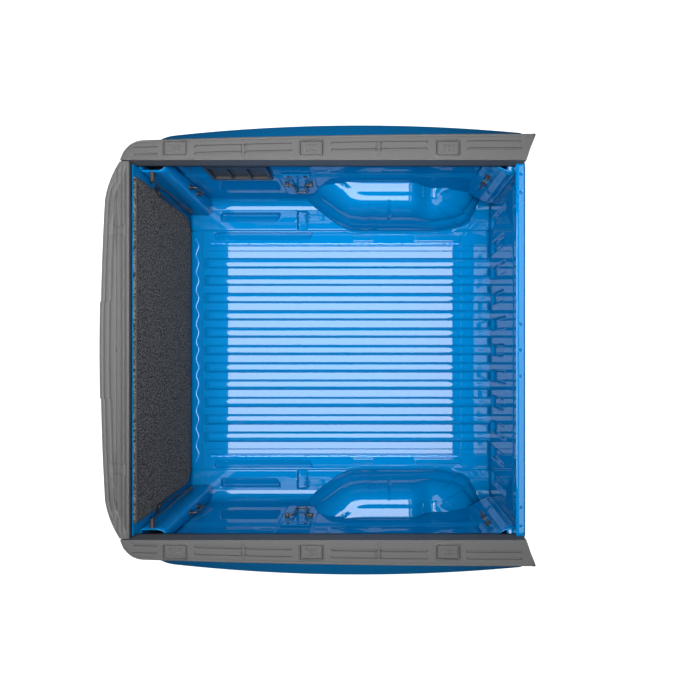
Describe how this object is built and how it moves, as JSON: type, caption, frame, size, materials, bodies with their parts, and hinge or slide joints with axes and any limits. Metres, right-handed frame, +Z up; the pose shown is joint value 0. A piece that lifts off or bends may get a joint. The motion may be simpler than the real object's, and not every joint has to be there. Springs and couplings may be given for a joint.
{
  "type": "pickup truck bed liner set",
  "caption": "Pickup cargo box lined with rail caps, a tailgate cap and a tailgate mat, with a dropping tailgate, folding stays, tie-down loops and lift-off stake pocket covers.",
  "frame": {"origin": "under the middle of the box's plan, at the height of the bedsides' lower edges", "axes": "+X towards the cab, +Y to the vehicle's left side, +Z up"},
  "size_m": [1.642, 1.839, 0.762],
  "materials": {
    "body_paint": "gloss",
    "cap_plastic": "matte",
    "mat_carpet": "matte",
    "black_plastic": "matte",
    "zinc_steel": "satin",
    "hook_loop": "matte",
    "lamp_lens": "gloss",
    "black_steel": "satin"
  },
  "bodies": {
    "bed": {"bed_floor": "body_paint", "front_panel": "body_paint", "front_header": "body_paint", "wheelhouse_left": "body_paint", "wheelhouse_right": "body_paint", "side_panel_left": "body_paint", "side_panel_right": "body_paint", "side_shelf_left": "body_paint", "side_shelf_right": "body_paint", "rear_post_left": "body_paint", "rear_post_right": "body_paint", "front_corner_left": "body_paint", "front_corner_right": "body_paint", "outer_side_left": "body_paint", "outer_side_right": "body_paint", "top_rail_left": "body_paint", "top_rail_right": "body_paint", "rear_jambs": "body_paint", "cross_sills": "body_paint", "rear_sill": "body_paint", "stake_pockets": "body_paint", "wheel_arch_left": "black_plastic", "wheel_arch_right": "black_plastic", "side_vent": "black_plastic", "rail_cap_left": "cap_plastic", "rail_cap_right": "cap_plastic", "tail_lamp_left": "lamp_lens", "tail_lamp_right": "lamp_lens", "strikers": "zinc_steel", "stay_studs_post": "zinc_steel", "corner_hooks": "black_steel", "loop_brackets": "black_steel"},
    "tailgate": {"tailgate_outer": "body_paint", "tailgate_inner": "body_paint", "tailgate_closer": "black_plastic", "tailgate_cap": "cap_plastic", "tailgate_mat": "mat_carpet", "mat_fasteners": "hook_loop", "handle_cup": "black_plastic", "handle_pin": "zinc_steel", "latch_plates": "zinc_steel", "latch_rods": "zinc_steel", "hinge_pins": "zinc_steel", "stay_studs_gate": "zinc_steel"},
    "handle": {"tailgate_handle": "black_plastic"},
    "claw_left": {"latch_claw_left": "zinc_steel"},
    "upper_stay_left": {"stay_upper_left": "black_steel"},
    "lower_stay_left": {"stay_lower_left": "black_steel"},
    "loop_left": {"tie_loop_left": "black_steel"},
    "cover_1_left": {"pocket_cover_1_left": "cap_plastic"},
    "cover_2_left": {"pocket_cover_2_left": "cap_plastic"},
    "cover_3_left": {"pocket_cover_3_left": "cap_plastic"},
    "claw_right": {"latch_claw_right": "zinc_steel"},
    "upper_stay_right": {"stay_upper_right": "black_steel"},
    "lower_stay_right": {"stay_lower_right": "black_steel"},
    "loop_right": {"tie_loop_right": "black_steel"},
    "cover_1_right": {"pocket_cover_1_right": "cap_plastic"},
    "cover_2_right": {"pocket_cover_2_right": "cap_plastic"},
    "cover_3_right": {"pocket_cover_3_right": "cap_plastic"}
  },
  "joints": [
    {"name": "tailgate_drop", "type": "hinge", "parent": "bed", "child": "tailgate", "pos_m": [-0.738, 0, 0.225], "axis": [0, -1, 0], "range_deg": [0, 90]},
    {"name": "handle_pull", "type": "hinge", "parent": "tailgate", "child": "handle", "pos_m": [-0.8, 0, 0.64], "axis": [0, 1, 0], "range_deg": [0, 35], "stiffness_Nm_per_rad": 0.9, "springref_deg": -28.65},
    {"name": "claw_turn_left", "type": "hinge", "parent": "tailgate", "child": "claw_left", "pos_m": [-0.733, 0.6935, 0.58], "axis": [0, 1, 0], "range_deg": [0, 70]},
    {"name": "upper_stay_turn_left", "type": "hinge", "parent": "bed", "child": "upper_stay_left", "pos_m": [-0.655, 0.665, 0.685], "axis": [0, 1, 0], "range_deg": [0, 46]},
    {"name": "lower_stay_turn_left", "type": "hinge", "parent": "tailgate", "child": "lower_stay_left", "pos_m": [-0.69, 0.656, 0.56], "axis": [0, -1, 0], "range_deg": [0, 42]},
    {"name": "tie_loop_swing_left", "type": "hinge", "parent": "bed", "child": "loop_left", "pos_m": [-0.114, 0.726, 0.485], "axis": [-1, 0, 0], "range_deg": [0, 150]},
    {"name": "cover_lift_1_left", "type": "slide", "parent": "bed", "child": "cover_1_left", "axis": [0, 0, 1], "range_m": [0, 0.04]},
    {"name": "cover_lift_2_left", "type": "slide", "parent": "bed", "child": "cover_2_left", "axis": [0, 0, 1], "range_m": [0, 0.04]},
    {"name": "cover_lift_3_left", "type": "slide", "parent": "bed", "child": "cover_3_left", "axis": [0, 0, 1], "range_m": [0, 0.04]},
    {"name": "claw_turn_right", "type": "hinge", "parent": "tailgate", "child": "claw_right", "pos_m": [-0.733, -0.6935, 0.58], "axis": [0, 1, 0], "range_deg": [0, 70]},
    {"name": "upper_stay_turn_right", "type": "hinge", "parent": "bed", "child": "upper_stay_right", "pos_m": [-0.655, -0.665, 0.685], "axis": [0, 1, 0], "range_deg": [0, 46]},
    {"name": "lower_stay_turn_right", "type": "hinge", "parent": "tailgate", "child": "lower_stay_right", "pos_m": [-0.69, -0.656, 0.56], "axis": [0, -1, 0], "range_deg": [0, 42]},
    {"name": "tie_loop_swing_right", "type": "hinge", "parent": "bed", "child": "loop_right", "pos_m": [-0.114, -0.726, 0.485], "axis": [1, 0, 0], "range_deg": [0, 150]},
    {"name": "cover_lift_1_right", "type": "slide", "parent": "bed", "child": "cover_1_right", "axis": [0, 0, 1], "range_m": [0, 0.04]},
    {"name": "cover_lift_2_right", "type": "slide", "parent": "bed", "child": "cover_2_right", "axis": [0, 0, 1], "range_m": [0, 0.04]},
    {"name": "cover_lift_3_right", "type": "slide", "parent": "bed", "child": "cover_3_right", "axis": [0, 0, 1], "range_m": [0, 0.04]}
  ],
  "couplings": [
    {"joint": "claw_turn_left", "follows": "handle_pull", "ratio": 2},
    {"joint": "upper_stay_turn_left", "follows": "tailgate_drop", "ratio": 0.503},
    {"joint": "lower_stay_turn_left", "follows": "tailgate_drop", "ratio": 0.402},
    {"joint": "claw_turn_right", "follows": "handle_pull", "ratio": 2},
    {"joint": "upper_stay_turn_right", "follows": "tailgate_drop", "ratio": 0.503},
    {"joint": "lower_stay_turn_right", "follows": "tailgate_drop", "ratio": 0.402}
  ]
}
